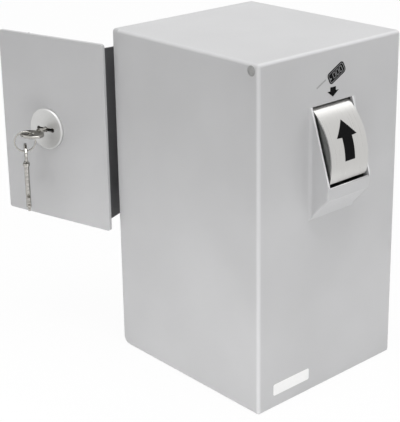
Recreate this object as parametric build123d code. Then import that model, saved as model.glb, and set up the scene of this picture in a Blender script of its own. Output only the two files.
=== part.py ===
# Key drop box: a steel cabinet that stands on its base, with an anti-fishing drum in the front
# wall and a lockable access door in the rear wall. Millimetres. The origin is the centre of the
# cabinet's base, the drum faces -Y, the door is in the +Y wall and Z points up.
from build123d import *
from math import asin, cos, degrees, radians, sin, sqrt, tan
import os

# Cabinet
body_width = 167.0
body_depth = 180.0
body_height = 300.0
sheet = 2.0
edge_radius = 3.0
rear_base_radius = 8.0
rear_pan_rim = 8.0
anchor_hole_radius = 4.5
anchor_spacing_x = 120.0
anchor_spacing_y = 110.0
cut_over = 1.0
plug_radius = 4.2
plug_stem_radius = 3.0
plug_dome = 1.4
plug_stem_length = 4.0
plug_from_front = 7.8
plug_from_top = 6.2

# Drum, with its shaft behind the front wall
drum_radius = 54.4
drum_width = 44.0
drum_sheet = 1.2
drum_shaft_depth = 34.0
drum_shaft_from_top = 92.2
skin_low_angle = -15.5
skin_high_angle = 66.0
drum_travel = 62.0
skin_hem = 5.0
hub_wall = 1.2
pocket_corner_radius = 20.6
pocket_corner_turn = 51.0
mouth_margin = 0.5
tray_lip = 3.0
shaft_radius = 4.0
shaft_clearance = 0.05
bush_wall = 2.0
bush_flange = 1.2
bush_flange_reach = 2.5
bush_sleeve = 3.6
clip_width = 1.0
clip_wall = 2.6
clip_groove = 0.5
clip_clearance = 0.05
clip_mouth = 4.0
shaft_past_clip = 2.2

# Pressed hood around the drum
hood_sheet = 1.8
hood_side_gap = 1.6
hood_flange = 4.0
hood_root_radius = 3.0
hood_bend_radius = 2.0
slot_gap = 2.0
lip_gap = 1.4
lip_drop = 17.2
lip_lean_angle = 7.0
ramp_gap = 2.2
ramp_angle = 48.0

# Brackets that carry the shaft
bracket_sheet = 2.0
bracket_gap = 1.9
bracket_flange = 13.0
bracket_above_shaft = 56.0
bracket_below_shaft = 52.0
bracket_behind_shaft = 24.0
bracket_shoulder = 4.0
bracket_corner_radius = 8.0
stud_from_end = 12.0
stud_clearance = 0.3
stud_radius = 2.0
stud_length = 7.0
nut_radius = 3.8
nut_height = 3.2
stop_rod_radius = 3.0
stop_contact_gap = 0.1
rest_stop_reach = 45.0
open_stop_reach = 22.0

# Door
door_from_side = 23.0
door_from_base = 113.8
door_from_top = 13.7
door_sheet = 3.0
door_corner = 2.5
plate_edge_radius = 0.6
door_lap = 4.2
door_end_lap = 4.8
door_gap = 0.4
door_open_angle = 104.0
channel_sheet = 1.5
channel_setback = 8.0
channel_depth = 28.0
channel_end_gap = 1.0
channel_taper = 5.0
channel_bend = 3.0
curtain_hole_gap = 0.8

# Hinges
hinge_pin_from_side = 7.5
hinge_pin_from_rear = 10.0
hinge_pin_radius = 2.5
hinge_boss_radius = 5.0
hinge_arm_thickness = 4.0
hinge_arm_width = 8.5
hinge_arm_depth = 31.0
hinge_arm_chamfer = 8.0
hinge_arm_end_chamfer = 2.0
hinge_arm_from_edge = 0.3
hinge_sweep_gap = 0.8
hinge_leg_right = 0.9
hinge_from_door_end = 32.0
lug_sheet = 3.0
lug_foot_sheet = 2.0
lug_side_gap = 0.3
lug_upstand = 14.0
lug_half_width = 6.5
pin_head_radius = 3.4
pin_head_height = 1.5
pin_end = 1.5
running_clearance = 0.05

# Lock
lock_from_hinge_edge = 68.1
escutcheon_radius = 19.25
escutcheon_height = 2.6
escutcheon_bevel = 2.0
escutcheon_land = 0.8
spigot_setback = 0.1
escutcheon_spigot_radius = 13.0
case_sheet = 2.0
case_left = 28.0
case_right = 40.0
case_height = 46.0
case_depth = 27.5
cover_sheet = 1.5
cover_corner = 2.0
post_radius = 3.4
post_inset = 2.6
case_screw_radius = 1.5
case_screw_clearance = 0.1
case_screw_head_radius = 2.9
case_screw_head_height = 1.8
curtain_radius = 11.5
curtain_flange = 2.0
curtain_flange_reach = 2.0
curtain_clearance = 0.3
curtain_end_gap = 0.2
slide_clearance = 0.25
bolt_thickness = 8.0
bolt_nose_height = 24.0
bolt_tail_height = 27.0
bolt_tail_rim = 5.0
bolt_tail_corner = 2.5
bolt_window_gap = 0.8
bolt_window_corner = 4.0
bolt_nose_chamfer = 1.2
bolt_travel = 10.0
bolt_end_gap = 1.2
bolt_from_cover = 5.0
keeper_sheet = 2.5
keeper_width = 14.0
keeper_height = 40.0
keeper_from_opening = 2.0
keeper_foot = 7.0
keeper_bolt_gap = 0.5

# Key
key_length = 61.0
key_reach = 30.0
key_shank_radius = 2.2
key_collar_radius = 3.1
key_collar_length = 2.5
bow_length = 18.0
bow_width = 24.0
bow_thickness = 2.5
bow_hole_radius = 3.0
bow_edge_radius = 0.7
shank_in_bow = 1.5
shank_end_chamfer = 0.6
bit_span = 19.0
bit_thickness = 2.3
bit_length = 12.5
bit_notch_depth = 2.2
bit_notch_width = 2.0
bit_notches = 3
keyhole_clearance = 0.3
keyhole_lobe_radius = 2.1
keyhole_lobe_reach = 0.4

# Split ring and the spare key that hangs from it
ring_inner_radius = 8.7
ring_wire = 1.3
ring_width = 2.0
ring_groove = 0.3
ring_direction = 45.0
ring_seat_gap = 0.4

# Places worked out from the sizes above
front = -body_depth / 2
rear = body_depth / 2
wall_inside = front + sheet
shaft_y = front + drum_shaft_depth
drum_shaft_height = body_height - drum_shaft_from_top
hood_inside = drum_width / 2 + hood_side_gap
hood_outside = hood_inside + hood_sheet
bracket_inside = drum_width / 2 + bracket_gap
bracket_outside = bracket_inside + bracket_sheet
slot_top = drum_shaft_height + sqrt((drum_radius + slot_gap) ** 2 - (drum_shaft_depth - sheet) ** 2)
lip_top = drum_shaft_height - lip_drop
lip_inside = shaft_y - sqrt((drum_radius + lip_gap) ** 2 - lip_drop ** 2)
pocket_low_angle = skin_low_angle - drum_travel - mouth_margin
pocket_corner_angle = pocket_low_angle - pocket_corner_turn
hub_bore = shaft_radius + shaft_clearance + bush_wall + running_clearance
hub_radius = hub_bore + hub_wall
axle_end = bracket_outside + clip_width + shaft_past_clip

hinge_x = -body_width / 2 + hinge_pin_from_side
hinge_y = rear - hinge_pin_from_rear
door_left = -body_width / 2 + door_from_side
door_right = body_width / 2 - door_from_side
door_low = door_from_base
door_high = body_height - door_from_top
door_centre_height = (door_low + door_high) / 2
opening_left = door_left + door_lap
opening_right = door_right - door_lap
opening_low = door_low + door_end_lap
opening_high = door_high - door_end_lap
plate_inside = rear + door_gap
plate_outside = plate_inside + door_sheet
web_inside = plate_inside - channel_sheet
channel_left = door_left + channel_setback
channel_right = door_right - channel_setback
channel_edge = plate_inside - channel_depth

lock_x = door_left + lock_from_hinge_edge
lock_z = door_centre_height
case_floor = web_inside
case_mouth = case_floor - case_depth
case_x_low = lock_x - case_left
case_x_high = lock_x + case_right
key_tip = plate_outside + key_reach - key_length
bow_centre = plate_outside + key_reach - bow_length / 2
bit_reach = bit_span / 2
bolt_low = case_mouth + bolt_from_cover
bolt_high = bolt_low + bolt_thickness


def x_prism(outline, low, high):
    """Solid from an outline of (y, z) points, between two X planes."""
    face = make_face(Polyline(*outline, close=True))
    return extrude(Plane.YZ.offset(low) * face, high - low)


def y_prism(face, low, high):
    """Solid from a face drawn in (x, z), between two Y planes."""
    plane = Plane(origin=(0, high, 0), x_dir=(1, 0, 0), z_dir=(0, -1, 0))
    return extrude(plane * face, high - low)


def z_prism(face, low, high):
    """Solid from a face drawn in (x, y), between two Z planes."""
    return extrude(Plane.XY.offset(low) * face, high - low)


def block(low, high):
    """Box between two corners."""
    size = [b - a for a, b in zip(low, high)]
    return Pos(*low) * Box(*size, align=(Align.MIN, Align.MIN, Align.MIN))


def rod(radius, start, end):
    """Round bar between two points."""
    path = Vector(*end) - Vector(*start)
    return extrude(Plane(origin=start, z_dir=path) * Circle(radius), path.length)


def drum_point(radius, angle):
    """(y, z) of a point of the drum, its angle counted upwards from the front."""
    turn = radians(angle)
    return shaft_y - radius * cos(turn), drum_shaft_height + radius * sin(turn)


def drum_arc(radius, low_angle, high_angle):
    """Arc about the shaft in (y, z), from the high angle down to the low one."""
    return CenterArc((shaft_y, drum_shaft_height), radius, 180 - high_angle, high_angle - low_angle)


def bent_box(grow):
    """The cabinet's outer form with its bends, grown by a distance on every side."""
    low, high = -grow, body_height + grow
    half_x, half_y = body_width / 2 + grow, body_depth / 2 + grow
    form = block((-half_x, -half_y, low), (half_x, half_y, high))
    base_rear = form.edges().group_by(Axis.Z)[0].sort_by(Axis.Y)[-1]
    form = fillet(base_rear, rear_base_radius + grow)
    return fillet(form.edges(), edge_radius + grow)


def hood_corner(lip_y, offset):
    """Where the lip's leaning face meets the ramp at an offset from the shaft, in (y, z)."""
    lean = tan(radians(lip_lean_angle))
    slope = tan(radians(ramp_angle))
    reach = offset / cos(radians(ramp_angle))
    foot = drum_shaft_height - reach - (lip_y + lip_top * lean - shaft_y) * slope
    height = foot / (1 - lean * slope)
    return lip_y + (lip_top - height) * lean, height


def ramp_height(y, offset):
    """Height of the ramp's plane at a depth, at an offset from the shaft."""
    reach = offset / cos(radians(ramp_angle))
    return drum_shaft_height - reach - (y - shaft_y) * tan(radians(ramp_angle))


def hood_profile():
    """The hood's outer and inner points in (y, z): slot, lip, bend and foot of the ramp."""
    inner_reach = drum_radius + ramp_gap
    outer_reach = inner_reach + hood_sheet
    lip_outside = lip_inside - hood_sheet
    outer = [
        (front, slot_top),
        (lip_outside, lip_top),
        hood_corner(lip_outside, outer_reach),
        (front, ramp_height(front, outer_reach)),
    ]
    back = wall_inside + cut_over
    inner = [(lip_inside, lip_top), hood_corner(lip_inside, inner_reach), (back, ramp_height(back, inner_reach))]
    return outer, inner


def hood_room():
    """What the hood leaves open: from the rim plane through to inside the cabinet."""
    _, inner = hood_profile()
    far = front - 2 * drum_radius
    outline = [inner[2], inner[1], inner[0], (far, lip_top), (far, slot_top), (inner[2][0], slot_top)]
    return x_prism(outline, -hood_inside, hood_inside)


def hood_seat():
    """The plate-thick seat of the hood in the front wall."""
    outer, _ = hood_profile()
    low = outer[3][1] - hood_flange - hood_root_radius
    reach = hood_outside + hood_flange
    return block((-reach, front, low), (reach, wall_inside, slot_top + hood_flange))


def drum_hood():
    """Wedge pressed forward out of a flange that lies flush in the front wall."""
    outer, _ = hood_profile()
    foot = outer[3]
    low = foot[1] - hood_root_radius
    wedge = x_prism([*outer, (wall_inside, low), (wall_inside, slot_top)], -hood_outside, hood_outside)
    bent = [
        edge
        for edge in wedge.edges()
        if abs(edge.center().X) > hood_inside
        and edge.center().Z < lip_top - cut_over
        and edge.center().Y < front - cut_over
    ]
    wedge = fillet(bent, hood_bend_radius)
    root = hood_outside + hood_root_radius
    web = make_face(
        [
            Line((-root, wall_inside), (-root, front)),
            RadiusArc((-root, front), (-hood_outside, front - hood_root_radius), hood_root_radius),
            Line((-hood_outside, front - hood_root_radius), (hood_outside, front - hood_root_radius)),
            RadiusArc((hood_outside, front - hood_root_radius), (root, front), hood_root_radius),
            Line((root, front), (root, wall_inside)),
            Line((root, wall_inside), (-root, wall_inside)),
        ]
    )
    fillets = z_prism(web, low, slot_top)
    fillets &= x_prism([*outer, (wall_inside, low), (wall_inside, slot_top)], -root, root)
    return wedge + fillets + hood_seat() - hood_room()


def body_shell():
    """Front, top, base and sides, folded and welded, with the seats cut in them."""
    walls = bent_box(0) - bent_box(-sheet)
    walls &= block((-body_width, -body_depth, 0), (body_width, rear - rear_pan_rim, body_height))
    walls -= hood_seat()
    for x in (-anchor_spacing_x / 2, anchor_spacing_x / 2):
        for y in (-anchor_spacing_y / 2, anchor_spacing_y / 2):
            walls -= rod(anchor_hole_radius, (x, y, -cut_over), (x, y, sheet + cut_over))
    y, z = front + plug_from_front, body_height - plug_from_top
    side = -body_width / 2
    return walls - rod(plug_stem_radius, (side - cut_over, y, z), (side + sheet + cut_over, y, z))


def rear_pan():
    """Rear wall with its turned rim and the door opening."""
    walls = bent_box(0) - bent_box(-sheet)
    walls &= block((-body_width, rear - rear_pan_rim, 0), (body_width, body_depth, body_height))
    jamb = rear - sheet - cut_over
    opening = block((opening_left, jamb, opening_low), (opening_right, rear + cut_over, opening_high))
    return walls - opening


def corner_plug():
    """Domed plug in the small hole near the front top corner."""
    dome_radius = (plug_radius ** 2 + plug_dome ** 2) / (2 * plug_dome)
    outline = make_face(
        [
            Line((0, -plug_stem_length), (0, plug_dome)),
            RadiusArc((0, plug_dome), (plug_radius, 0), dome_radius),
            Line((plug_radius, 0), (plug_stem_radius, 0)),
            Line((plug_stem_radius, 0), (plug_stem_radius, -plug_stem_length)),
            Line((plug_stem_radius, -plug_stem_length), (0, -plug_stem_length)),
        ]
    )
    turned = revolve(Plane.XZ * outline, Axis.Z)
    centre = (-body_width / 2, front + plug_from_front, body_height - plug_from_top)
    return Plane(origin=centre, x_dir=(0, 1, 0), z_dir=(-1, 0, 0)) * turned


def bracket_outline():
    """Side view of a shaft bracket in (y, z)."""
    low = drum_shaft_height - bracket_below_shaft
    high = drum_shaft_height + bracket_above_shaft
    back = shaft_y + bracket_behind_shaft
    corner = bracket_behind_shaft
    return [
        (wall_inside, low),
        (shaft_y + bracket_shoulder, low),
        (back, low + corner),
        (back, drum_shaft_height + corner),
        (shaft_y - bracket_shoulder, high),
        (wall_inside, high),
    ]


def drum_bracket(side):
    """Sheet bracket with a foot on the front wall, a shaft hole and two rod holes."""
    low, high = sorted((side * bracket_inside, side * bracket_outside))
    plate = x_prism(bracket_outline(), low, high)
    rounded = [edge for edge in plate.edges().filter_by(Axis.X) if edge.center().Y > wall_inside]
    plate = fillet(rounded, bracket_corner_radius)
    foot_low, foot_high = sorted((side * bracket_inside, side * (bracket_outside + bracket_flange)))
    foot = block(
        (foot_low, wall_inside, drum_shaft_height - bracket_below_shaft),
        (foot_high, wall_inside + bracket_sheet, drum_shaft_height + bracket_above_shaft),
    )
    plate += foot
    for radius, (y, z) in bracket_holes():
        plate -= rod(radius + shaft_clearance, (low - cut_over, y, z), (high + cut_over, y, z))
    back = wall_inside + bracket_sheet + cut_over
    for x, z in stud_places(side):
        plate -= rod(stud_radius + stud_clearance, (x, wall_inside - cut_over, z), (x, back, z))
    return plate


def stud_places(side):
    """(x, z) of the studs that hold one bracket's foot."""
    x = side * (hood_outside + hood_flange + (bracket_outside + bracket_flange)) / 2
    low = drum_shaft_height - bracket_below_shaft
    high = drum_shaft_height + bracket_above_shaft
    return [(x, low + stud_from_end), (x, (low + high) / 2), (x, high - stud_from_end)]


def rest_stop():
    """(y, z) of the rod that the tray's floor lies on when the drum is shut."""
    lip = drum_point(drum_radius, pocket_low_angle)
    corner = drum_point(pocket_corner_radius, pocket_corner_angle)
    along = Vector(lip[0] - corner[0], lip[1] - corner[1]).normalized()
    away = Vector(-along.Y, along.X)
    foot = Vector(*corner) + along * (rest_stop_reach - pocket_corner_radius)
    centre = foot + away * (drum_sheet / 2 + stop_rod_radius + stop_contact_gap)
    return centre.X, centre.Y


def open_stop():
    """(y, z) of the rod that the cheeks' upper edge meets when the drum is open."""
    lead = degrees(asin((stop_rod_radius + stop_contact_gap) / open_stop_reach))
    return drum_point(open_stop_reach, skin_high_angle + drum_travel + lead)


def bracket_holes():
    """Radius and (y, z) of what passes through a bracket."""
    shaft = (shaft_y, drum_shaft_height)
    return [(shaft_radius, shaft), (stop_rod_radius, rest_stop()), (stop_rod_radius, open_stop())]


def stop_rods():
    """The two rods between the brackets that end the drum's travel."""
    places = (rest_stop(), open_stop())
    return Compound([rod(stop_rod_radius, (-bracket_outside, *yz), (bracket_outside, *yz)) for yz in places])


def shaft_rod(radius, low, high):
    """Round bar on the drum's axis, between two X planes."""
    return rod(radius, (low, shaft_y, drum_shaft_height), (high, shaft_y, drum_shaft_height))


def clip_span(side, margin):
    """X planes of a clip outside its bracket."""
    return sorted((side * (bracket_outside + margin), side * (bracket_outside + clip_width - margin)))


def drum_shaft():
    """Plain shaft with a clip groove near each end."""
    shaft = shaft_rod(shaft_radius, -axle_end, axle_end)
    for side in (-1, 1):
        low, high = clip_span(side, 0)
        shaft -= shaft_rod(2 * shaft_radius, low, high) - shaft_rod(shaft_radius - clip_groove, low, high)
    return shaft


def shaft_clips():
    """Open retaining clips in the shaft's grooves, outside the brackets."""
    clips = []
    seat = shaft_radius - clip_groove + clip_clearance
    outer = shaft_radius + clip_wall
    for side in (-1, 1):
        low, high = clip_span(side, clip_clearance)
        mouth = block(
            (low, shaft_y - clip_mouth / 2, drum_shaft_height - 2 * outer),
            (high, shaft_y + clip_mouth / 2, drum_shaft_height),
        )
        clip = shaft_rod(outer, low, high) - shaft_rod(seat, low, high) - mouth
        clips.append(clip.solids()[0])
    return Compound(clips)


def bracket_studs():
    """Studs welded to the inside of the front wall."""
    studs = []
    for side in (-1, 1):
        for x, z in stud_places(side):
            studs.append(rod(stud_radius, (x, wall_inside, z), (x, wall_inside + stud_length, z)))
    return Compound(studs)


def bracket_nuts():
    """Hexagon nuts that clamp the brackets' feet."""
    nuts = []
    seat = wall_inside + bracket_sheet
    for side in (-1, 1):
        for x, z in stud_places(side):
            face = Pos(x, z) * (RegularPolygon(nut_radius, 6) - Circle(stud_radius + running_clearance))
            nuts.append(y_prism(face, seat, seat + nut_height).solids()[0])
    return Compound(nuts)


def drum_skin():
    """Curved stainless face of the drum, with its lower edge hemmed inwards."""
    outer = drum_radius
    inner = drum_radius - drum_sheet
    hem = degrees(drum_sheet / drum_radius)
    low_out = drum_point(outer, skin_low_angle)
    low_in = drum_point(inner, skin_low_angle)
    band = make_face(
        [
            drum_arc(outer, skin_low_angle, skin_high_angle),
            Line(low_out, low_in),
            drum_arc(inner, skin_low_angle, skin_high_angle),
            Line(drum_point(inner, skin_high_angle), drum_point(outer, skin_high_angle)),
        ]
    )
    skin = extrude(Plane.YZ.offset(-drum_width / 2) * band, drum_width)
    edge = [
        drum_point(outer, skin_low_angle),
        drum_point(inner - skin_hem, skin_low_angle),
        drum_point(inner - skin_hem, skin_low_angle + hem),
        drum_point(inner, skin_low_angle + hem),
    ]
    inside = drum_width / 2 - drum_sheet
    return skin + x_prism(edge, -inside, inside)


def drum_cheek(side):
    """Flat end of the drum: its rim follows the skin and its heel reaches the pocket's corner."""
    inner = drum_radius - drum_sheet
    lip = drum_point(inner, pocket_low_angle)
    corner = drum_point(pocket_corner_radius + drum_sheet, pocket_corner_angle)
    heel = drum_point(hub_radius, pocket_corner_angle - 35)
    start = drum_point(hub_radius, skin_high_angle)
    face = make_face(
        [
            drum_arc(inner, pocket_low_angle, skin_high_angle),
            Line(lip, corner),
            Line(corner, heel),
            Line(heel, start),
            Line(start, drum_point(inner, skin_high_angle)),
        ]
    )
    hub = Pos(shaft_y, drum_shaft_height) * Circle(hub_radius)
    bore = Pos(shaft_y, drum_shaft_height) * Circle(hub_bore)
    face = face + hub - bore
    low, high = sorted((side * (drum_width / 2 - drum_sheet), side * drum_width / 2))
    return extrude(Plane.YZ.offset(low) * face, high - low)


def radial_plate(from_radius, to_radius, angle):
    """Sheet that lies along a radius of the drum, its thickness on one side."""
    turn = radians(angle)
    across = Vector(sin(turn), cos(turn)) * drum_sheet
    start = Vector(*drum_point(from_radius, angle))
    end = Vector(*drum_point(to_radius, angle))
    points = [start, end, end + across, start + across]
    inside = drum_width / 2 - drum_sheet
    return x_prism([(p.X, p.Y) for p in points], -inside, inside)


def drum_tray():
    """Bent tray that holds the dropped key: ceiling, hub tube, back and floor."""
    inside = drum_width / 2 - drum_sheet
    tube_middle = (hub_bore + hub_radius) / 2
    hem = degrees(drum_sheet / drum_radius)
    ceiling = radial_plate(tube_middle, drum_radius - drum_sheet, skin_low_angle + hem)
    ceiling -= drum_skin()
    tube = shaft_rod(hub_radius, -inside, inside)
    back = radial_plate(tube_middle, pocket_corner_radius, pocket_corner_angle)
    lip = Vector(*drum_point(drum_radius - drum_sheet, pocket_low_angle))
    corner = Vector(*drum_point(pocket_corner_radius, pocket_corner_angle))
    along = (lip - corner).normalized()
    away = Vector(-along.Y, along.X) * (drum_sheet / 2)
    floor_points = [corner - away, lip - away, lip + away, corner + away]
    floor = x_prism([(p.X, p.Y) for p in floor_points], -inside, inside)
    joint = rod(drum_sheet / 2, (-inside, corner.X, corner.Y), (inside, corner.X, corner.Y))
    rise = Vector(-away.X, -away.Y).normalized() * tray_lip
    lip_points = [lip + away, lip + away - along * drum_sheet, lip - along * drum_sheet + rise, lip + rise]
    edge = x_prism([(p.X, p.Y) for p in lip_points], -inside, inside)
    tray = ceiling + tube + back + floor + joint + edge
    return tray - shaft_rod(hub_bore, -drum_width, drum_width)


def drum_bushes():
    """Flanged plastic bushes pressed into the cheeks."""
    bushes = []
    outer = hub_bore - running_clearance
    for side in (-1, 1):
        face = side * drum_width / 2
        inner = side * (drum_width / 2 - bush_sleeve)
        rim = side * (drum_width / 2 + bush_flange)
        sleeve = shaft_rod(outer, inner, face)
        flange = shaft_rod(outer + bush_flange_reach, face, rim)
        bore = shaft_rod(shaft_radius + shaft_clearance, -drum_width, drum_width)
        bushes.append((sleeve + flange - bore).solids()[0])
    return Compound(bushes)


def door_plate():
    """Overlapping outer plate of the door, with the round hole for the lock."""
    centre = Pos((door_left + door_right) / 2, door_centre_height)
    face = centre * RectangleRounded(door_right - door_left, door_high - door_low, door_corner)
    face -= Pos(lock_x, lock_z) * Circle(escutcheon_spigot_radius + running_clearance)
    plate = y_prism(face, plate_inside, plate_outside)
    rim = plate.faces().sort_by(Axis.Y)[-1].outer_wire().edges()
    return fillet(rim, plate_edge_radius)


def channel_profile(inset, back, edge):
    """Face of the channel's outline in (x, y), set in from its outside and open towards the cabinet."""
    left, right = channel_left + inset, channel_right - inset
    corners = [(left, edge), (left, back), (right, back), (right, edge)]
    face = make_face(Polyline(*corners, close=True))
    bends = face.vertices().sort_by(Axis.Y)[-2:]
    return fillet(bends, channel_bend - inset)


def door_channel():
    """Stiffening channel behind the plate, open at its top and bottom, its walls cut back at the ends."""
    low = opening_low + channel_end_gap
    high = opening_high - channel_end_gap
    outer = channel_profile(0, plate_inside, channel_edge)
    inner = channel_profile(channel_sheet, web_inside, channel_edge - cut_over)
    channel = z_prism(outer - inner, low, high)
    slope = channel_depth * tan(radians(channel_taper))
    for level, sign in ((low, 1), (high, -1)):
        out = level - sign * cut_over
        corners = [(channel_edge, out), (web_inside, out), (web_inside, level), (channel_edge, level + sign * slope)]
        channel -= x_prism(corners, channel_left, channel_right)
    hole = curtain_radius + curtain_hole_gap
    channel -= rod(hole, (lock_x, web_inside - cut_over, lock_z), (lock_x, plate_inside + cut_over, lock_z))
    return channel - bolt_way(channel_right - channel_bend, channel_right)


def bolt_way(low, high):
    """The slot that the bolt's nose runs through."""
    half = bolt_nose_height / 2 + slide_clearance
    return block(
        (low, bolt_low - slide_clearance, lock_z - half),
        (high, bolt_high + slide_clearance, lock_z + half),
    )


def hinge_arm(level):
    """Gooseneck arm: from the pin down behind the jamb and up inside the door's channel."""
    wall = channel_left + channel_sheet - hinge_x
    web = web_inside - hinge_y
    edge = channel_edge - hinge_y - hinge_arm_from_edge
    jamb = sqrt((opening_left - hinge_x) ** 2 + hinge_pin_from_rear ** 2)
    sweep = jamb + hinge_sweep_gap
    bend = channel_bend - channel_sheet
    left = -hinge_boss_radius
    low = -hinge_arm_depth
    right = wall + hinge_arm_width
    hook = make_face(
        Polyline(
            (left, -hinge_boss_radius),
            (left, low + hinge_arm_chamfer),
            (left + hinge_arm_chamfer, low),
            (right - hinge_arm_chamfer, low),
            (right, low + hinge_arm_chamfer),
            (right, web - hinge_arm_end_chamfer),
            (right - hinge_arm_end_chamfer, web),
            (wall + bend, web),
            (wall, web - bend),
            (wall, edge),
            (hinge_leg_right, edge),
            (hinge_leg_right, -hinge_boss_radius),
            close=True,
        )
    )
    clear = Circle(sweep) & Pos(hinge_leg_right + sweep, 0) * Rectangle(2 * sweep, 2 * sweep)
    leg_width = hinge_leg_right - left
    leg = Pos(left + leg_width / 2, -hinge_boss_radius) * Rectangle(leg_width, 2 * hinge_boss_radius)
    arm = (hook - clear) + leg + Circle(hinge_boss_radius)
    arm -= Circle(hinge_pin_radius + running_clearance)
    half = hinge_arm_thickness / 2
    return z_prism(Pos(hinge_x, hinge_y) * arm, level - half, level + half)


def hinge_levels():
    """Heights of the two hinge arms."""
    return door_low + hinge_from_door_end, door_high - hinge_from_door_end


def hinge_lugs(level):
    """Two angle lugs on the side wall, one above and one below an arm."""
    wall = -body_width / 2 + sheet
    reach = hinge_x + lug_half_width - wall
    strip = Pos(wall + reach / 2, hinge_y) * Rectangle(reach, 2 * lug_half_width)
    root = Pos((wall + hinge_x) / 2, hinge_y) * Rectangle(hinge_x - wall, 2 * lug_half_width)
    ear = (Pos(hinge_x, hinge_y) * Circle(lug_half_width) + root) & strip
    hole = hinge_pin_radius + running_clearance
    lugs = []
    for sign in (-1, 1):
        near = level + sign * (hinge_arm_thickness / 2 + lug_side_gap)
        far = near + sign * lug_sheet
        tip = near + sign * lug_upstand
        lug = z_prism(ear, min(near, far), max(near, far))
        lug += block(
            (wall, hinge_y - lug_half_width, min(near, tip)),
            (wall + lug_foot_sheet, hinge_y + lug_half_width, max(near, tip)),
        )
        lug -= rod(hole, (hinge_x, hinge_y, min(near, tip)), (hinge_x, hinge_y, max(near, tip)))
        lugs.append(lug.solids()[0])
    return Compound(lugs)


def hinge_pins():
    """Headed pins dropped through the lugs and arms."""
    pins = []
    half = hinge_arm_thickness / 2 + lug_side_gap + lug_sheet
    for level in hinge_levels():
        top = level + half
        shank = rod(hinge_pin_radius, (hinge_x, hinge_y, level - half - pin_end), (hinge_x, hinge_y, top))
        head = rod(pin_head_radius, (hinge_x, hinge_y, top), (hinge_x, hinge_y, top + pin_head_height))
        pins.append((shank + head).solids()[0])
    return Compound(pins)


def bolt_keeper():
    """Hat-shaped keeper behind the jamb that the thrown bolt lies against."""
    left = opening_right + keeper_from_opening
    right = left + keeper_width
    low = lock_z - keeper_height / 2
    high = lock_z + keeper_height / 2
    face = bolt_high + keeper_bolt_gap
    jamb = rear - sheet
    hat = block((left, face, low), (right, face + keeper_sheet, high))
    for side in (low, high - keeper_sheet):
        hat += block((left, face, side), (right, jamb, side + keeper_sheet))
    hat += block((left, jamb - keeper_sheet, low - keeper_foot), (right, jamb, low + keeper_sheet))
    hat += block((left, jamb - keeper_sheet, high - keeper_sheet), (right, jamb, high + keeper_foot))
    return hat


def keyhole(clearance):
    """Bow-tie keyhole in (x, z) about the lock's centre."""
    half = bit_reach + clearance
    slot = Rectangle(2 * half, bit_thickness + 2 * clearance)
    return slot + Circle(key_shank_radius + clearance)


def escutcheon():
    """Round stainless rose with a bevelled rim, a spigot through the plate and the keyhole."""
    top = plate_outside + escutcheon_height
    flat = escutcheon_radius - escutcheon_bevel
    land = plate_outside + escutcheon_land
    spigot_end = plate_inside + spigot_setback
    outline = make_face(
        [
            Line((0, spigot_end), (escutcheon_spigot_radius, spigot_end)),
            Line((escutcheon_spigot_radius, spigot_end), (escutcheon_spigot_radius, plate_outside)),
            Line((escutcheon_spigot_radius, plate_outside), (escutcheon_radius, plate_outside)),
            Line((escutcheon_radius, plate_outside), (escutcheon_radius, land)),
            TangentArc((escutcheon_radius, land), (flat, top), tangent=(0, 1)),
            Line((flat, top), (0, top)),
            Line((0, top), (0, spigot_end)),
        ]
    )
    rose = Pos(lock_x, 0, lock_z) * revolve(outline, Axis.Y)
    lobes = keyhole(keyhole_clearance)
    lobe_at = bit_reach + keyhole_clearance + keyhole_lobe_reach - keyhole_lobe_radius
    for side in (-1, 1):
        lobes += Pos(side * lobe_at, 0) * Circle(keyhole_lobe_radius)
    return rose - y_prism(Pos(lock_x, lock_z) * lobes, plate_inside, top + cut_over)


def post_places():
    """(x, z) of the posts in the corners of the lock case."""
    half = case_height / 2 - case_sheet - post_inset
    left = case_x_low + case_sheet + post_inset
    right = case_x_high - case_sheet - post_inset
    return [(x, lock_z + z) for x in (left, right) for z in (-half, half)]


def lock_case():
    """Lock case: a tray on the door's channel with four screw posts."""
    half = case_height / 2
    outer = block((case_x_low, case_mouth, lock_z - half), (case_x_high, case_floor, lock_z + half))
    room = block(
        (case_x_low + case_sheet, case_mouth - cut_over, lock_z - half + case_sheet),
        (case_x_high - case_sheet, case_floor - case_sheet, lock_z + half - case_sheet),
    )
    case = outer - room
    for x, z in post_places():
        case += rod(post_radius, (x, case_mouth, z), (x, case_floor - case_sheet, z))
    for x, z in post_places():
        hole = case_screw_radius + case_screw_clearance
        case -= rod(hole, (x, case_mouth - cut_over, z), (x, case_floor + cut_over, z))
    hole = curtain_radius + curtain_clearance
    case -= rod(hole, (lock_x, case_floor - 2 * case_sheet, lock_z), (lock_x, case_floor + cut_over, lock_z))
    return case - bolt_way(case_x_high - 2 * case_sheet, case_x_high + cut_over)


def lock_cover():
    """Flat cover that closes the lock case."""
    half = case_height / 2
    cover = block((case_x_low, case_mouth - cover_sheet, lock_z - half), (case_x_high, case_mouth, lock_z + half))
    cover = fillet(cover.edges().filter_by(Axis.Y), cover_corner)
    hole = case_screw_radius + case_screw_clearance
    for x, z in post_places():
        cover -= rod(hole, (x, case_mouth - 2 * cover_sheet, z), (x, case_mouth + cut_over, z))
    return cover


def lock_screws():
    """Screws through the cover and the posts into the door's channel."""
    screws = []
    seat = case_mouth - cover_sheet
    for x, z in post_places():
        head = rod(case_screw_head_radius, (x, seat - case_screw_head_height, z), (x, seat, z))
        shank = rod(case_screw_radius, (x, seat, z), (x, web_inside, z))
        screws.append((head + shank).solids()[0])
    return Compound(screws)


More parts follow.
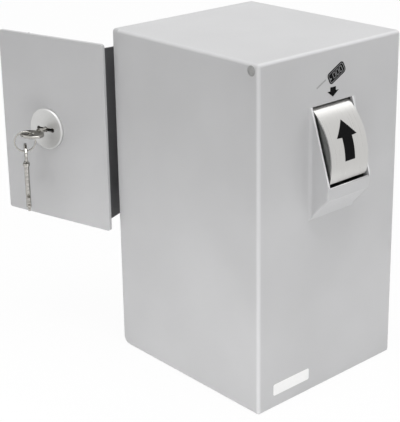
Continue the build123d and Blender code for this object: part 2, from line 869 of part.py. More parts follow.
def key_curtain():
    """Barrel that turns with the key behind the rose, flanged inside the case."""
    inside = case_floor - case_sheet - curtain_end_gap
    back = inside - curtain_flange
    face = plate_inside - curtain_end_gap
    barrel = rod(curtain_radius, (lock_x, back, lock_z), (lock_x, face, lock_z))
    flange = rod(curtain_radius + curtain_flange_reach, (lock_x, back, lock_z), (lock_x, inside, lock_z))
    slot = y_prism(Pos(lock_x, lock_z) * keyhole(keyhole_clearance), back - cut_over, plate_inside)
    return barrel + flange - slot


def lock_bolt():
    """Bolt, drawn back: its tail frames the turning bits and its nose passes the case and channel."""
    room = bit_reach + bolt_window_gap
    left = lock_x - room - bolt_travel - bolt_tail_rim
    right = lock_x + room + bolt_tail_rim
    tip = channel_right - bolt_end_gap
    tail = Pos((left + right) / 2, lock_z) * RectangleRounded(right - left, bolt_tail_height, bolt_tail_corner)
    nose = Pos((lock_x + tip) / 2, lock_z) * Rectangle(tip - lock_x, bolt_nose_height)
    window = RectangleRounded(2 * room + bolt_travel, 2 * room, bolt_window_corner)
    window = Pos(lock_x - bolt_travel / 2, lock_z) * window
    bolt = y_prism(tail + nose - window, bolt_low, bolt_high)
    tip_edges = bolt.faces().sort_by(Axis.X)[-1].edges().filter_by(Axis.Z)
    return chamfer(tip_edges, bolt_nose_chamfer)


def key_shape():
    """Double-bitted key about the centre of its bow: the bow lies in X-Y and the shank runs to -Y."""
    bow = z_prism(Ellipse(bow_width / 2, bow_length / 2), -bow_thickness / 2, bow_thickness / 2)
    bow = fillet(bow.edges(), bow_edge_radius)
    tip = bow_length / 2 - key_length
    root = -bow_length / 2 + shank_in_bow
    shank = rod(key_shank_radius, (0, tip, 0), (0, root, 0))
    shank = chamfer(shank.edges().sort_by(Axis.Y)[0], shank_end_chamfer)
    collar_at = -bow_length / 2 - key_collar_length
    collar = rod(key_collar_radius, (0, collar_at, 0), (0, collar_at + key_collar_length, 0))
    bits = block((-bit_reach, tip, -bit_thickness / 2), (bit_reach, tip + bit_length, bit_thickness / 2))
    pitch = bit_length / (bit_notches + 1)
    for index in range(bit_notches):
        low = tip + pitch * (index + 1) - bit_notch_width / 2
        depth = bit_notch_depth * (1 + index % 2) / 2
        for side in (-1, 1):
            inner, outer = sorted((side * (bit_reach - depth), side * bit_span))
            bits -= block((inner, low, -bit_thickness), (outer, low + bit_notch_width, bit_thickness))
    key = bow + shank + collar + bits
    return key - rod(bow_hole_radius, (0, 0, -bow_thickness), (0, 0, bow_thickness))


def ring_frame():
    """Directions of the ring, its centre and the place of the wire under it, door shut."""
    turn = radians(ring_direction)
    along = Vector(cos(turn), sin(turn), 0)
    across = Vector(-sin(turn), cos(turn), 0)
    half_x, half_y = bow_width / 2, bow_length / 2
    edge = 1 / sqrt((cos(turn) / half_x) ** 2 + (sin(turn) / half_y) ** 2)
    rim = (edge - bow_hole_radius) / 2
    drop = sqrt((ring_inner_radius - ring_seat_gap) ** 2 - rim ** 2) - bow_thickness / 2
    centre = Vector(lock_x, bow_centre, lock_z) + along * (bow_hole_radius + rim) - Vector(0, 0, drop)
    wire = centre - Vector(0, 0, ring_inner_radius + ring_wire / 2)
    return along, across, centre, wire


def key_ring():
    """Split ring, its two turns pressed together with a fine groove between them."""
    along, across, centre, _ = ring_frame()
    inner, outer = ring_inner_radius, ring_inner_radius + ring_wire
    half = ring_width / 2
    section = Pos((inner + outer) / 2, 0) * RectangleRounded(ring_wire, ring_width, ring_wire / 3)
    for radius in (inner, outer):
        section -= Pos(radius, 0) * Rotation(0, 0, 45) * Rectangle(ring_groove, ring_groove)
    ring = revolve(Plane.XZ * section, Axis.Z)
    plane = Plane(origin=centre, x_dir=along, z_dir=across)
    return plane * ring


def lock_key():
    """The key in the lock, its bow level."""
    return Pos(lock_x, bow_centre, lock_z) * key_shape()


def spare_key():
    """The second key, hanging from the bottom of the ring, edge on to it."""
    along, across, _, wire = ring_frame()
    hole = wire + Vector(0, 0, ring_wire / 2 + ring_seat_gap - bow_hole_radius)
    plane = Plane(origin=hole, x_dir=across, z_dir=along)
    return plane * key_shape()


def opened(shape):
    """Turns a piece of the shut door to the open door's place."""
    hinge = Axis((hinge_x, hinge_y, 0), (0, 0, 1))
    return shape.rotate(hinge, door_open_angle)


def cabinet():
    lower, upper = hinge_levels()
    return {
        "body_shell": body_shell(),
        "rear_pan": rear_pan(),
        "drum_hood": drum_hood(),
        "corner_plug": corner_plug(),
        "left_drum_bracket": drum_bracket(-1),
        "right_drum_bracket": drum_bracket(1),
        "bracket_studs": bracket_studs(),
        "bracket_nuts": bracket_nuts(),
        "drum_stop_rods": stop_rods(),
        "drum_shaft": drum_shaft(),
        "shaft_clips": shaft_clips(),
        "upper_hinge_lugs": hinge_lugs(upper),
        "lower_hinge_lugs": hinge_lugs(lower),
        "hinge_pins": hinge_pins(),
        "bolt_keeper": bolt_keeper(),
    }


def drum():
    return {
        "drum_skin": drum_skin(),
        "left_drum_cheek": drum_cheek(-1),
        "right_drum_cheek": drum_cheek(1),
        "drum_tray": drum_tray(),
        "drum_bushes": drum_bushes(),
    }


def door():
    lower, upper = hinge_levels()
    return {
        "door_plate": door_plate(),
        "door_channel": door_channel(),
        "upper_hinge_arm": hinge_arm(upper),
        "lower_hinge_arm": hinge_arm(lower),
        "lock_escutcheon": escutcheon(),
        "lock_case": lock_case(),
        "lock_cover": lock_cover(),
        "lock_screws": lock_screws(),
        "key_curtain": key_curtain(),
        "lock_bolt": lock_bolt(),
        "lock_key": lock_key(),
        "key_ring": key_ring(),
        "spare_key": spare_key(),
    }


def main():
    os.makedirs("parts", exist_ok=True)
    nodes = {**cabinet(), **drum()}
    nodes.update({name: opened(shape) for name, shape in door().items()})
    for name, shape in nodes.items():
        export_step(shape, f"parts/{name}.step")
    print(len(nodes), "nodes")


main()
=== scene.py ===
import math

import bpy
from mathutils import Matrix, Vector


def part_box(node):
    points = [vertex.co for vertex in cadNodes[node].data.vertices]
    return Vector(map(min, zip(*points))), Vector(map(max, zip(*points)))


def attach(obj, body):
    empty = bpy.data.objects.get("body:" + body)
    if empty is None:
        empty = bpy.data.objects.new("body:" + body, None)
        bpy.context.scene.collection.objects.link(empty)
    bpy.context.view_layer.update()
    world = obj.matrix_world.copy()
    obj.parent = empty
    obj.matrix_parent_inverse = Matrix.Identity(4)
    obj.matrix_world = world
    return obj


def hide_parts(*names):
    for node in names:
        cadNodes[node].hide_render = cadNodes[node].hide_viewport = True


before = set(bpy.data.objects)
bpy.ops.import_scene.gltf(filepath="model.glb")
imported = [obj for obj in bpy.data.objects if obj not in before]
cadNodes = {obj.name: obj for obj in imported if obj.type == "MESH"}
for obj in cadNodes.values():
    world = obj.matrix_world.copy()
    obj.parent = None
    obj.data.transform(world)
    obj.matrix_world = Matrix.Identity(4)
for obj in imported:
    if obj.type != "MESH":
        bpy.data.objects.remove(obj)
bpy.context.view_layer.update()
bpy.ops.object.select_all(action="DESELECT")
print("frame loaded:", len(cadNodes), "nodes")

# All lengths are metres, in the frame of the CAD: the drum's wall faces -Y and Z is up.


def linearColour(hexText):
    # sRGB hex to the linear values that the nodes take
    values = [int(hexText[i:i + 2], 16) / 255 for i in (1, 3, 5)]
    return [*(v / 12.92 if v <= 0.04045 else ((v + 0.055) / 1.055) ** 2.4 for v in values), 1]


def addNode(tree, kind, settings=None, links=()):
    # settings are a node's own properties, its sockets by name or number, or the stops of its ramp
    # links are (socket, source node, output of the source)
    node = tree.nodes.new(kind)
    for name, value in (settings or {}).items():
        if name == "stops":
            ramp = node.color_ramp.elements
            while len(ramp) < len(value):
                ramp.new(0.5)
            for stop, (place, shade) in zip(ramp, value):
                stop.position = place
                stop.color = linearColour(shade)
        elif isinstance(name, str) and name in node.bl_rna.properties:
            setattr(node, name, value)
        else:
            node.inputs[name].default_value = value
    for socket, source, output in links:
        tree.links.new(source.outputs[output], node.inputs[socket])
    return node


def startMaterial(name):
    material = bpy.data.materials.new(name)
    material.use_nodes = True
    material.node_tree.nodes.clear()
    return material, material.node_tree


# a pattern reaches its two colours, or its two roughnesses, at these values of its noise
softEnds = (0.35, 0.65)
grainEnds = (0.30, 0.70)

# Powder coat flows as it cures and keeps a ripple of about a millimetre from crest to crest.
# cloud is the size of the slow change in its tone, and depth how high the ripple stands.
paints = {
    # light grey satin polyester on bent sheet: an even, soft sheen with no mirror image in it
    "paintedCase": {"colour": ("#c5c5c6", "#cacacb"), "roughness": (0.30, 0.38),
                    "ripple": 0.0011, "depth": 0.00001, "cloud": 0.09},
    # the same coat on a cut edge, glossier, with a lighter colour as a painted highlight: a thin
    # light line round the drum's opening
    "paintedEdge": {"colour": ("#e4e4e5", "#e9e9ea"), "roughness": (0.20, 0.26),
                    "ripple": 0.0011, "depth": 0.000004, "cloud": 0.09},
    # painted shade: a dark grey on the channel and hinge arms inside the door, dull, so that the
    # gap beside the door reads as shade
    "paintedInside": {"colour": ("#5b5b5d", "#616163"), "roughness": (0.42, 0.52),
                      "ripple": 0.0011, "depth": 0.00001, "cloud": 0.05},
}
# painted highlight: a lighter colour on the crown of each fold where two outer faces meet.
# limits are how far out those faces lie along X, Y and Z, and round is the folds' outside radius
paints["paintedShell"] = {**paints["paintedCase"], "edgeHighlight": {
    "colour": "#dededf", "limits": (0.0835, 0.090, 0.300), "round": 0.003}}


def paintedHighlightMask(tree, place, look):
    # 1 on the crown of a fold between two outer faces of the shell, where the painted highlight
    # goes, 0 on the faces themselves
    axes = addNode(tree, "ShaderNodeSeparateXYZ", {}, [("Vector", place, "Object")])
    nearness = []
    for axis, limit in zip("XYZ", look["limits"]):
        away = addNode(tree, "ShaderNodeMath", {"operation": "ABSOLUTE"}, [(0, axes, axis)])
        nearness.append(addNode(tree, "ShaderNodeMapRange",
                                {"From Min": limit - look["round"], "From Max": limit},
                                [("Value", away, "Value")]))
    folds = [addNode(tree, "ShaderNodeMath", {"operation": "MULTIPLY"},
                     [(0, nearness[first], "Result"), (1, nearness[second], "Result")])
             for first, second in ((0, 1), (0, 2), (1, 2))]
    crown = folds[0]
    for fold in folds[1:]:
        crown = addNode(tree, "ShaderNodeMath", {"operation": "MAXIMUM"},
                        [(0, crown, "Value"), (1, fold, "Value")])
    # half way round a fold the product is a half, so it is doubled
    return addNode(tree, "ShaderNodeMath", {"operation": "MULTIPLY", 1: 2.0, "use_clamp": True},
                   [(0, crown, "Value")])


def paintedSteel(name, look):
    material, tree = startMaterial(name)
    place = addNode(tree, "ShaderNodeTexCoord")
    cloud = addNode(tree, "ShaderNodeTexNoise", {"Scale": 1 / look["cloud"], "Detail": 2.0},
                    [("Vector", place, "Object")])
    tone = addNode(tree, "ShaderNodeValToRGB", {"stops": list(zip(softEnds, look["colour"]))},
                   [("Fac", cloud, "Fac")])
    peel = addNode(tree, "ShaderNodeTexNoise", {"Scale": 1 / look["ripple"], "Detail": 1.0},
                   [("Vector", place, "Object")])
    gloss = addNode(tree, "ShaderNodeMapRange",
                    {"From Min": grainEnds[0], "From Max": grainEnds[1],
                     "To Min": look["roughness"][0], "To Max": look["roughness"][1]},
                    [("Value", peel, "Fac")])
    relief = addNode(tree, "ShaderNodeBump", {"Strength": 0.35, "Distance": look["depth"]},
                     [("Height", peel, "Fac")])
    coat = (tone, "Color")
    if "edgeHighlight" in look:
        # sockets 6 and 7 of a colour mix are its two colours, and output 2 is the mixed one
        # the painted highlight: the lighter colour mixed in over the folds' crowns
        bright = linearColour(look["edgeHighlight"]["colour"])
        mixed = addNode(tree, "ShaderNodeMix", {"data_type": "RGBA", 7: bright},
                        [(0, paintedHighlightMask(tree, place, look["edgeHighlight"]), "Value"), (6, tone, "Color")])
        coat = (mixed, 2)
    skin = addNode(tree, "ShaderNodeBsdfPrincipled", {"IOR": 1.5},
                   [("Base Color", *coat), ("Roughness", gloss, "Result"),
                    ("Normal", relief, "Normal")])
    addNode(tree, "ShaderNodeOutputMaterial", {}, [("Surface", skin, "BSDF")])
    return material


# grain is the size of the marks along X, Y and Z, and depth how deep they are
metals = {
    # brushed stainless sheet: a soft sheen that changes slowly round the curve. Its brush marks
    # are about 0.1 mm apart, too fine to show, and are drawn at 0.6 mm
    "stainlessDrum": {"colour": ("#c3c2c0", "#c7c6c4"), "roughness": (0.27, 0.30),
                      "grain": (0.0006, 0.03, 0.03), "depth": 0.0000002},
    # satin stainless, turned and bead blasted: pale, even and soft. The marks of the beads are
    # about 0.1 mm across, and only an unevenness of 4 mm is drawn
    "satinRose": {"colour": ("#cbcbca", "#d1d1d0"), "roughness": (0.44, 0.52),
                  "grain": (0.004, 0.004, 0.004), "depth": 0.000001},
    # zinc-plated sheet: cool grey with a faint bloom about 6 mm across
    "zincSheet": {"colour": ("#989b9d", "#a6a8aa"), "roughness": (0.36, 0.44),
                  "grain": (0.006, 0.006, 0.006), "depth": 0.000002},
    # zinc-plated screws, studs and nuts: brighter than the sheet, with small knocks 1 mm across
    "zincFastener": {"colour": ("#a3a5a6", "#bcbcbb"), "roughness": (0.24, 0.36),
                     "grain": (0.001, 0.001, 0.001), "depth": 0.000004},
    # bright steel: fine rings round the drum's shaft, and streaks along the pins and the bolt.
    # The tool's marks are 0.2 mm apart and are drawn at 0.6 mm
    "turnedSteel": {"colour": ("#a9a9aa", "#c3c3c3"), "roughness": (0.20, 0.30),
                    "grain": (0.0006, 0.02, 0.02), "depth": 0.000004},
    # the drum's steel cheeks, set back in the hood: mid grey and nearly dull, with a mottle of
    # about
    # 4 mm. The mid grey, darker than the drum, is painted shade
    "cheekSteel": {"colour": ("#747574", "#838482"), "roughness": (0.38, 0.50),
                   "grain": (0.004, 0.004, 0.004), "depth": 0.000003},
    # phosphated spring steel: near black and dull. Its crystals are about 0.01 mm across and are
    # drawn at 1 mm
    "springSteel": {"colour": ("#2b2b2d", "#3a3a3c"), "roughness": (0.40, 0.55),
                    "grain": (0.001, 0.001, 0.001), "depth": 0.000003},
    # polished nickel plate: hard light and dark flashes. Its handling marks are about 0.1 mm
    # apart and are drawn at 0.8 mm. The tint keeps its edges from washing out against white
    "nickelPlate": {"colour": ("#a19f9b", "#c4c2bd"), "roughness": (0.10, 0.20),
                    "grain": (0.004, 0.004, 0.0008), "depth": 0.000004, "edgeTint": "#8a8a8a"},
    # turned brass: warm, with faint level streaks. The tool's marks are 0.2 mm apart and are
    # drawn at 0.6 mm
    "lockBrass": {"colour": ("#b08f4c", "#c7a763"), "roughness": (0.26, 0.38),
                  "grain": (0.02, 0.02, 0.0006), "depth": 0.000004},
    # pressed and nickel-plated sheet: one soft highlight on the plug's dome, hardly mottled
    "plugNickel": {"colour": ("#8b8b8a", "#9d9d9c"), "roughness": (0.26, 0.34),
                   "grain": (0.004, 0.004, 0.004), "depth": 0.000002},
}


def bareMetal(name, look):
    # the grain is noise drawn out along the way the metal was brushed, turned or rolled
    material, tree = startMaterial(name)
    place = addNode(tree, "ShaderNodeTexCoord")
    drawn = addNode(tree, "ShaderNodeMapping", {"Scale": [1 / size for size in look["grain"]]},
                    [("Vector", place, "Object")])
    grain = addNode(tree, "ShaderNodeTexNoise", {"Scale": 1.0, "Detail": 3.0, "Roughness": 0.6},
                    [("Vector", drawn, "Vector")])
    tone = addNode(tree, "ShaderNodeValToRGB", {"stops": list(zip(grainEnds, look["colour"]))},
                   [("Fac", grain, "Fac")])
    gloss = addNode(tree, "ShaderNodeMapRange",
                    {"From Min": grainEnds[0], "From Max": grainEnds[1],
                     "To Min": look["roughness"][0], "To Max": look["roughness"][1]},
                    [("Value", grain, "Fac")])
    scratch = addNode(tree, "ShaderNodeBump", {"Strength": 0.5, "Distance": look["depth"]},
                      [("Height", grain, "Fac")])
    edge = linearColour(look.get("edgeTint", "#ffffff"))
    skin = addNode(tree, "ShaderNodeBsdfPrincipled", {"Metallic": 1.0, "Specular Tint": edge},
                   [("Base Color", tone, "Color"), ("Roughness", gloss, "Result"),
                    ("Normal", scratch, "Normal")])
    addNode(tree, "ShaderNodeOutputMaterial", {}, [("Surface", skin, "BSDF")])
    return material


# an ink shows the mesh of its screen, about 0.1 mm, too fine to show and drawn at 0.8 mm
films = {
    # moulded natural nylon: waxy off-white. Its grain is about 0.2 mm and is drawn at 1.5 mm
    "naturalNylon": {"colour": ("#dcd9cd", "#e6e3d8"), "roughness": 0.5, "specular": 0.5,
                     "grain": 0.0015, "depth": 0.000006},
    # black screen ink: flat and dense, so the arrows stay dark on the bright drum
    "printInk": {"colour": ("#0b0b0c", "#121213"), "roughness": 0.65, "specular": 0.05,
                 "grain": 0.0008, "depth": 0.000002},
    # grey screen ink for the fine lines in the key picture
    "printGrey": {"colour": ("#8b8b8c", "#949495"), "roughness": 0.55, "specular": 0.3,
                  "grain": 0.0008, "depth": 0.000002},
    # paler grey ink: the key picture's blade hardly stands out from the paint
    "printBlade": {"colour": ("#a6a6a7", "#aeaeaf"), "roughness": 0.55, "specular": 0.3,
                   "grain": 0.0008, "depth": 0.000002},
    # white polyester film: the whitest thing on the cabinet, with a slight gloss and ripples of
    # about 2 mm
    "labelFilm": {"colour": ("#fcfcfb", "#fefefd"), "roughness": 0.32, "specular": 0.5,
                  "grain": 0.002, "depth": 0.000002},
}


def plainSurface(name, look):
    material, tree = startMaterial(name)
    place = addNode(tree, "ShaderNodeTexCoord")
    grain = addNode(tree, "ShaderNodeTexNoise", {"Scale": 1 / look["grain"], "Detail": 2.0},
                    [("Vector", place, "Object")])
    tone = addNode(tree, "ShaderNodeValToRGB", {"stops": list(zip(softEnds, look["colour"]))},
                   [("Fac", grain, "Fac")])
    relief = addNode(tree, "ShaderNodeBump", {"Strength": 0.4, "Distance": look["depth"]},
                     [("Height", grain, "Fac")])
    skin = addNode(tree, "ShaderNodeBsdfPrincipled",
                   {"Roughness": look["roughness"], "Specular IOR Level": look["specular"]},
                   [("Base Color", tone, "Color"), ("Normal", relief, "Normal")])
    addNode(tree, "ShaderNodeOutputMaterial", {}, [("Surface", skin, "BSDF")])
    return material


finishes = {name: make(name, look)
            for make, looks in ((paintedSteel, paints), (bareMetal, metals), (plainSurface, films))
            for name, look in looks.items()}

nodeFinish = {
    # the shell's finish has a painted highlight along its folds
    "paintedShell": ["body_shell"],
    "paintedCase": ["rear_pan", "drum_hood", "door_plate", "upper_hinge_lugs", "lower_hinge_lugs"],
    # the door's channel and hinge arms carry painted shade
    "paintedInside": ["door_channel", "upper_hinge_arm", "lower_hinge_arm"],
    "stainlessDrum": ["drum_skin"],
    # the cheeks' mid grey is painted shade
    "cheekSteel": ["left_drum_cheek", "right_drum_cheek"],
    "zincSheet": ["drum_tray", "left_drum_bracket", "right_drum_bracket", "bolt_keeper",
                  "lock_case", "lock_cover"],
    "zincFastener": ["bracket_studs", "bracket_nuts", "drum_stop_rods", "lock_screws"],
    "turnedSteel": ["drum_shaft", "hinge_pins", "lock_bolt"],
    "springSteel": ["shaft_clips"],
    "naturalNylon": ["drum_bushes"],
    "satinRose": ["lock_escutcheon"],
    "plugNickel": ["corner_plug"],
    "lockBrass": ["key_curtain"],
    "nickelPlate": ["lock_key", "spare_key", "key_ring"],
}
for finish, nodeNames in nodeFinish.items():
    for nodeName in nodeNames:
        cadNodes[nodeName].data.materials.clear()
        cadNodes[nodeName].data.materials.append(finishes[finish])
print("finishes on the CAD nodes:", sum(len(nodeNames) for nodeNames in nodeFinish.values()))


def applyPlace():
    bpy.ops.object.transform_apply(location=True, rotation=True, scale=True)


def settle(piece, name, finish, body):
    # the piece keeps its place in its mesh, takes its finish and rides on its body
    applyPlace()
    piece.name = name
    piece.data.materials.clear()
    piece.data.materials.append(finishes[finish])
    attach(piece, body)
    piece.select_set(False)


def applyModifier(piece, kind, settings):
    modifier = piece.modifiers.new(kind.lower(), kind)
    for name, value in settings.items():
        setattr(modifier, name, value)
    bpy.ops.object.modifier_apply(modifier=modifier.name)


def thicken(piece, thickness, offset=1.0):
    # offset 1 grows along the normals and -1 against them
    applyModifier(piece, "SOLIDIFY", {"thickness": thickness, "offset": offset})


def pick(piece, part, test):
    # part is vertices, edges or polygons. Edit mode stays open with what passes the test selected
    bpy.ops.object.mode_set(mode="EDIT")
    bpy.ops.mesh.select_mode(type={"vertices": "VERT", "edges": "EDGE", "polygons": "FACE"}[part])
    bpy.ops.mesh.select_all(action="DESELECT")
    bpy.ops.object.mode_set(mode="OBJECT")
    corners = piece.data.vertices
    for element in getattr(piece.data, part):
        if part == "vertices":
            element.select = test(element.co)
        elif part == "edges":
            first, second = element.vertices
            element.select = test((corners[first].co + corners[second].co) / 2)
        else:
            element.select = test(element.center)
    bpy.ops.object.mode_set(mode="EDIT")


def everywhere(place):
    return True


def selectOnly(piece):
    bpy.ops.object.select_all(action="DESELECT")
    piece.select_set(True)
    bpy.context.view_layer.objects.active = piece


def joinPieces(parts):
    selectOnly(parts[0])
    for part in parts[1:]:
        part.select_set(True)
    bpy.ops.object.join()
    return parts[0]


nearly = 0.000001       # places closer than this are the same

hoodRim = {
    "weld": 0.000005, "coplanar": 0.3, "smooth": 30,
    "slope": 0.3281, "level": -0.17342,     # the rim's plane: y = slope * z + level
    "flatness": 0.00006,                    # how far from that plane a face of the rim may lie
    "lip": (-0.109, 0.1906),                # the lip's top: in front of this y, at this z
    "reach": 0.0255,                        # the sheet's outer side, either way from the middle
}


def onRim(place):
    # the cut edge of the hood's sheet, round the drum's opening and along the top of the lip,
    # which takes the painted highlight
    offPlane = place.y - hoodRim["slope"] * place.z - hoodRim["level"]
    onLip = place.y < hoodRim["lip"][0] and abs(place.z - hoodRim["lip"][1]) < hoodRim["flatness"]
    return abs(place.x) < hoodRim["reach"] and (abs(offPlane) < hoodRim["flatness"] or onLip)


hood = cadNodes["drum_hood"].copy()
hood.data = cadNodes["drum_hood"].data.copy()
bpy.context.scene.collection.objects.link(hood)
selectOnly(hood)
bpy.ops.object.mode_set(mode="EDIT")
bpy.ops.mesh.select_all(action="SELECT")
bpy.ops.mesh.remove_doubles(threshold=hoodRim["weld"])
bpy.ops.mesh.dissolve_limited(angle_limit=math.radians(hoodRim["coplanar"]))
for side in (-1, 1):
    bpy.ops.mesh.select_all(action="SELECT")
    bpy.ops.mesh.bisect(plane_co=(side * hoodRim["reach"], 0, 0), plane_no=(1, 0, 0))
bpy.ops.object.mode_set(mode="OBJECT")
settle(hood, "hoodDressed", "paintedCase", "housing")
# the rim's faces take a second, lighter finish: a painted highlight along the cut edge
hood.data.materials.append(finishes["paintedEdge"])
pick(hood, "polygons", onRim)
hood.active_material_index = 1
bpy.ops.object.material_slot_assign()
bpy.ops.object.mode_set(mode="OBJECT")
bpy.ops.object.shade_smooth_by_angle(angle=math.radians(hoodRim["smooth"]))
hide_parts("drum_hood")
print("hood with its cut rim given a painted highlight")


def wallPlate(look, width, height, centre, corner, tilt=0.0):
    # a film flat on the front wall. Its centre is (x, z), its corners have a radius and a number
    # of steps, and tilt in degrees raises its right end
    bpy.ops.mesh.primitive_plane_add(
        size=1, location=(centre[0], look["wall"] - look["lift"], centre[1]),
        rotation=(math.pi / 2, -math.radians(tilt), 0))
    piece = bpy.context.active_object
    piece.scale = (width, height, 1)
    applyPlace()
    bpy.ops.object.mode_set(mode="EDIT")
    bpy.ops.mesh.select_all(action="SELECT")
    bpy.ops.mesh.bevel(offset=corner[0], segments=corner[1], affect="VERTICES")
    bpy.ops.object.mode_set(mode="OBJECT")
    return piece


blankLabel = {
    "wall": -0.090, "lift": 0.00002, "thickness": 0.00018, "centre": (-0.04475, 0.0172),
    "width": 0.0425, "height": 0.0104, "corner": (0.0016, 6),
}
label = wallPlate(blankLabel, blankLabel["width"], blankLabel["height"], blankLabel["centre"],
                  blankLabel["corner"])
thicken(label, blankLabel["thickness"])
settle(label, "blankLabel", "labelFilm", "housing")
print("blank label on the front wall")

fobPicture = {
    "wall": -0.090, "lift": 0.00002, "thickness": 0.00008, "lineThickness": 0.00004,
    "centre": (0.0041, 0.2776), "width": 0.0208, "height": 0.0105, "tilt": 27.2,
    "corner": (0.0031, 8), "rimInset": 0.0011, "rimLine": 0.00045,
    # places on the fob are measured along it and across it from its centre
    "buttons": ((-0.0030, 0.0034), (0.0012, 0.0034), (0.0054, 0.0034)),     # along, width
    "buttonHeight": 0.0052, "buttonCorner": (0.0010, 4), "buttonLine": 0.0005,
    "eyelet": (-0.0078, -0.0006, 0.0017), "eyeletCorner": (0.000833, 5),    # along, across, width
    "bladeFrom": (-0.0085, 0.2741), "bladeTo": (-0.0191, 0.2687),           # x and z on the wall
    "bladeWidth": 0.0014, "bladeCorner": (0.00056, 4),
}


def onFob(along, across):
    turn = math.radians(fobPicture["tilt"])
    return (fobPicture["centre"][0] + along * math.cos(turn) - across * math.sin(turn),
            fobPicture["centre"][1] + along * math.sin(turn) + across * math.cos(turn))


def frameLine(piece, line):
    # leaves only a line round the plate's edge
    pick(piece, "polygons", everywhere)
    bpy.ops.mesh.inset(thickness=line)
    bpy.ops.mesh.delete(type="FACE")
    bpy.ops.object.mode_set(mode="OBJECT")


fob = wallPlate(fobPicture, fobPicture["width"], fobPicture["height"], fobPicture["centre"],
                fobPicture["corner"], fobPicture["tilt"])
thicken(fob, fobPicture["thickness"])
settle(fob, "fobPrint", "printInk", "housing")

# the lines are a second print on top of the first
onInk = {**fobPicture, "lift": fobPicture["lift"] + fobPicture["thickness"]}
inset = fobPicture["rimInset"]
radius, steps = fobPicture["corner"]
lines = [wallPlate(onInk, fobPicture["width"] - 2 * inset, fobPicture["height"] - 2 * inset,
                   fobPicture["centre"], (radius - inset, steps), fobPicture["tilt"])]
frameLine(lines[0], fobPicture["rimLine"])
for along, width in fobPicture["buttons"]:
    button = wallPlate(onInk, width, fobPicture["buttonHeight"], onFob(along, 0),
                       fobPicture["buttonCorner"], fobPicture["tilt"])
    frameLine(button, fobPicture["buttonLine"])
    lines.append(button)
along, across, size = fobPicture["eyelet"]
lines.append(wallPlate(onInk, size, size, onFob(along, across), fobPicture["eyeletCorner"],
                       fobPicture["tilt"]))
fobLines = joinPieces(lines)
thicken(fobLines, fobPicture["lineThickness"])
settle(fobLines, "fobLines", "printGrey", "housing")

start, end = Vector(fobPicture["bladeFrom"]), Vector(fobPicture["bladeTo"])
run = start - end
blade = wallPlate(fobPicture, run.length, fobPicture["bladeWidth"], (start + end) / 2,
                  fobPicture["bladeCorner"], math.degrees(math.atan2(run.y, run.x)))
thicken(blade, fobPicture["thickness"])
settle(blade, "bladePrint", "printBlade", "housing")
print("key picture on the front wall")


def arrowPlate(look):
    # stem first, then the head drawn out from its end edge. Tail, neck, wing and tip are heights
    middle, y, tail, neck, wing, tip = (
        look[name] for name in ("middle", "y", "tail", "neck", "wing", "tip"))
    bpy.ops.mesh.primitive_plane_add(size=1, location=(middle, y, (tail + neck) / 2),
                                     rotation=(math.pi / 2, 0, 0))
    piece = bpy.context.active_object
    piece.scale = (2 * look["stemHalf"], abs(neck - tail), 1)
    applyPlace()
    pick(piece, "edges", lambda place: abs(place.z - neck) < nearly)
    bpy.ops.mesh.extrude_region_move(TRANSFORM_OT_translate={"value": (0, 0, wing - neck)})
    bpy.ops.transform.resize(value=(look["wingHalf"] / look["stemHalf"], 1, 1),
                             center_override=(middle, y, wing))
    bpy.ops.mesh.extrude_region_move(TRANSFORM_OT_translate={"value": (0, 0, tip - wing)})
    bpy.ops.mesh.merge(type="CENTER")
    bpy.ops.mesh.select_all(action="SELECT")
    bpy.ops.mesh.normals_make_consistent(inside=False)
    bpy.ops.object.mode_set(mode="OBJECT")
    if piece.data.polygons[0].normal.y > 0:     # the print faces away from the wall
        bpy.ops.object.mode_set(mode="EDIT")
        bpy.ops.mesh.flip_normals()
        bpy.ops.object.mode_set(mode="OBJECT")
    return piece


downArrow = {
    "middle": 0.0003, "y": -0.09002, "tail": 0.2666, "neck": 0.26335, "wing": 0.2633,
    "tip": 0.2585, "stemHalf": 0.0033, "wingHalf": 0.0067, "thickness": 0.00008,
}
down = arrowPlate(downArrow)
thicken(down, downArrow["thickness"])
settle(down, "downArrow", "printInk", "housing")

drumArrow = {
    "middle": 0.0, "y": -0.125,     # drawn in front of the drum, then laid on it
    "tail": 0.2097, "neck": 0.2286, "wing": 0.22906, "tip": 0.2413,
    "stemHalf": 0.0058, "wingHalf": 0.0117, "slices": 16, "proud": 0.00012, "thickness": 0.00010,
}
turnArrow = arrowPlate(drumArrow)
for index in range(1, drumArrow["slices"]):     # cuts across it let it follow the curve
    rise = (drumArrow["tip"] - drumArrow["tail"]) * index / drumArrow["slices"]
    pick(turnArrow, "polygons", everywhere)
    bpy.ops.mesh.bisect(plane_co=(0, 0, drumArrow["tail"] + rise), plane_no=(0, 0, 1))
    bpy.ops.object.mode_set(mode="OBJECT")
applyModifier(turnArrow, "SHRINKWRAP", {
    "target": cadNodes["drum_skin"], "wrap_method": "PROJECT", "use_project_y": True,
    "use_positive_direction": True, "use_negative_direction": False,
    "offset": drumArrow["proud"]})
thicken(turnArrow, drumArrow["thickness"], -1.0)
settle(turnArrow, "drumArrow", "printInk", "drum")
print("arrows on the wall and on the drum")

